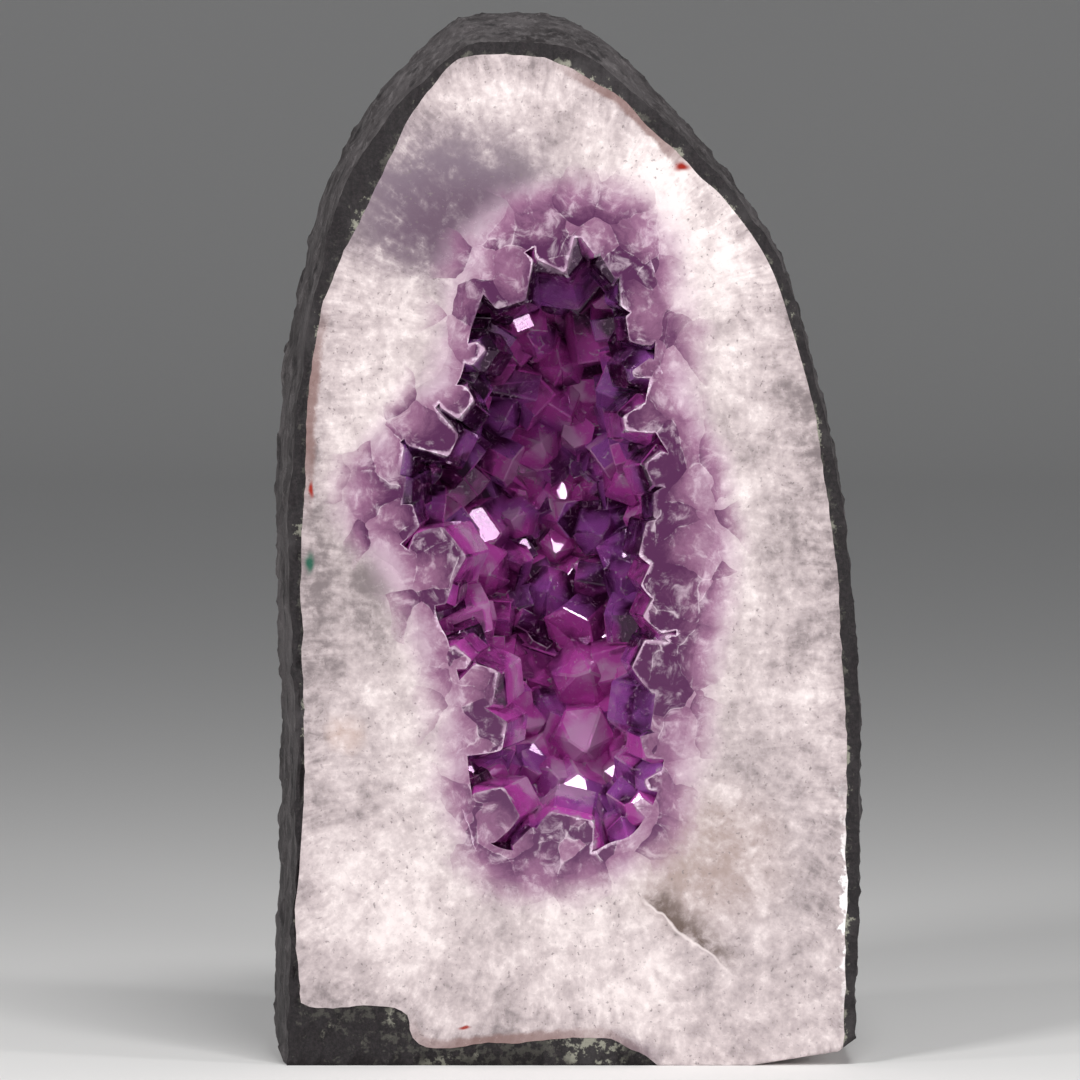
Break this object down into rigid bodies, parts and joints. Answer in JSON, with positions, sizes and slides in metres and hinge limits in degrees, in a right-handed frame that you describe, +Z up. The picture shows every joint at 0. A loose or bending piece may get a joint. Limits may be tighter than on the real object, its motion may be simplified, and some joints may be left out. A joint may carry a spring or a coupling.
{
  "type": "amethyst geode",
  "caption": "Standing amethyst geode: a basalt-rinded, white quartz-walled hollow lined with purple crystal points, sawn open in front and flat below.",
  "frame": {"origin": "on the sawn base, under the middle of the geode's bounding box", "axes": "+Z up along the tall side, sawn open front facing -Y, +X to the right seen from the front"},
  "size_m": [0.206, 0.148, 0.37],
  "materials": {
    "basalt": "rough, weathered, dark grey",
    "quartz": "sawn and polished, milky",
    "amethyst": "clear deep purple crystal with bright natural faces"
  },
  "bodies": {
    "root": {"basalt_rind": "basalt", "quartz_wall": "quartz", "amethyst_crystals": "amethyst"}
  },
  "joints": []
}
